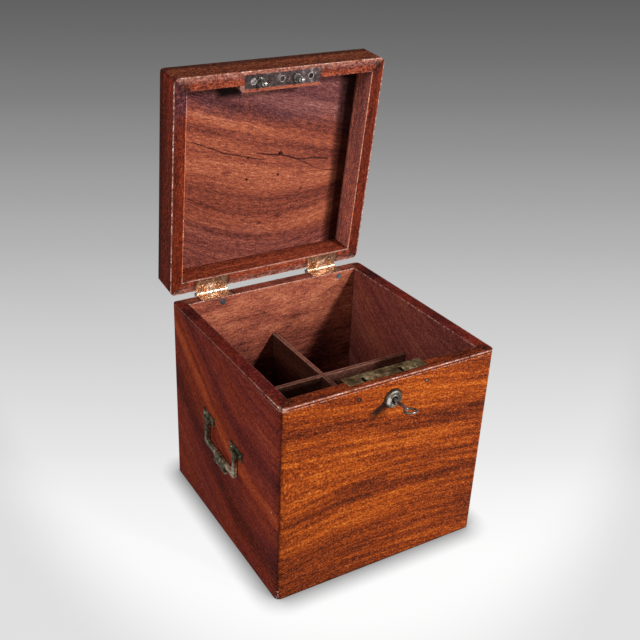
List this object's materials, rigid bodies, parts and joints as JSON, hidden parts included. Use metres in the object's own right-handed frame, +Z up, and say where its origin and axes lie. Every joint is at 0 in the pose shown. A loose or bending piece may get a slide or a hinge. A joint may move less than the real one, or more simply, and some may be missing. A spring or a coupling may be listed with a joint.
{
  "type": "decanter box",
  "caption": "Lockable mahogany box on a flat base, divided by a halved cross into square compartments for bottles, with a hinged lid, a key and a drop handle on each side.",
  "frame": {"origin": "centre of the flat base on the surface it stands on", "axes": "+X to the right seen from the lock side, +Y from the lock to the hinges, +Z up"},
  "size_m": [0.2498, 0.3129, 0.4672],
  "materials": {
    "mahogany": "waxed, warm orange brown, worn edges",
    "dark_mahogany": "waxed, dark red brown",
    "hinge_brass": "tarnished with rubbed bright spots",
    "dull_brass": "dull olive tarnish",
    "dark_iron": "dark, oxidised",
    "worn_steel": "worn bright"
  },
  "bodies": {
    "box": {"front_wall": "mahogany", "back_wall": "mahogany", "left_wall": "dark_mahogany", "right_wall": "dark_mahogany", "bottom_board": "dark_mahogany", "long_divider": "dark_mahogany", "cross_divider": "dark_mahogany", "iron_plugs": "dark_iron", "left_box_leaf": "hinge_brass", "right_box_leaf": "hinge_brass", "hinge_pins": "hinge_brass", "box_leaf_screws": "hinge_brass", "lock_case": "dull_brass", "lock_cap": "dull_brass", "drill_pin": "worn_steel", "lock_screws": "dark_iron", "escutcheon": "dull_brass", "left_front_rose": "dull_brass", "left_back_rose": "dull_brass", "right_front_rose": "dull_brass", "right_back_rose": "dull_brass", "left_bail_pins": "dull_brass", "right_bail_pins": "dull_brass", "rose_screws": "dull_brass"},
    "lid": {"lid_panel": "mahogany", "lid_front_rail": "mahogany", "lid_back_rail": "mahogany", "lid_left_rail": "dark_mahogany", "lid_right_rail": "dark_mahogany", "hook_block": "mahogany", "hook_plate": "dark_iron", "lid_hooks": "worn_steel", "hook_plate_screws": "worn_steel", "left_lid_leaf": "hinge_brass", "right_lid_leaf": "hinge_brass", "lid_leaf_screws": "hinge_brass"},
    "bolt": {"lock_bolt": "worn_steel", "bolt_spring": "worn_steel"},
    "key": {"key": "worn_steel"},
    "left_bail": {"left_bail": "dull_brass"},
    "right_bail": {"right_bail": "dull_brass"}
  },
  "joints": [
    {"name": "lid_hinge", "type": "hinge", "parent": "box", "child": "lid", "pos_m": [0, 0.1244, 0.22055], "axis": [1, 0, 0], "range_deg": [0, 82.94]},
    {"name": "key_turn", "type": "hinge", "parent": "box", "child": "key", "pos_m": [0, -0.12, 0.1986], "axis": [0, -1, 0], "range_deg": [0, 180]},
    {"name": "bolt_slide", "type": "slide", "parent": "box", "child": "bolt", "axis": [-1, 0, 0], "range_m": [0, 0.0055]},
    {"name": "left_bail_swing", "type": "hinge", "parent": "box", "child": "left_bail", "pos_m": [-0.1226, -0.0035, 0.122], "axis": [0, 0.9988, 0.0489], "range_deg": [0, 90]},
    {"name": "right_bail_swing", "type": "hinge", "parent": "box", "child": "right_bail", "pos_m": [0.1226, -0.0035, 0.122], "axis": [0, -1, 0], "range_deg": [0, 90]}
  ],
  "couplings": [
    {"joint": "key_turn", "follows": "bolt_slide", "rad_per_m": 571}
  ]
}
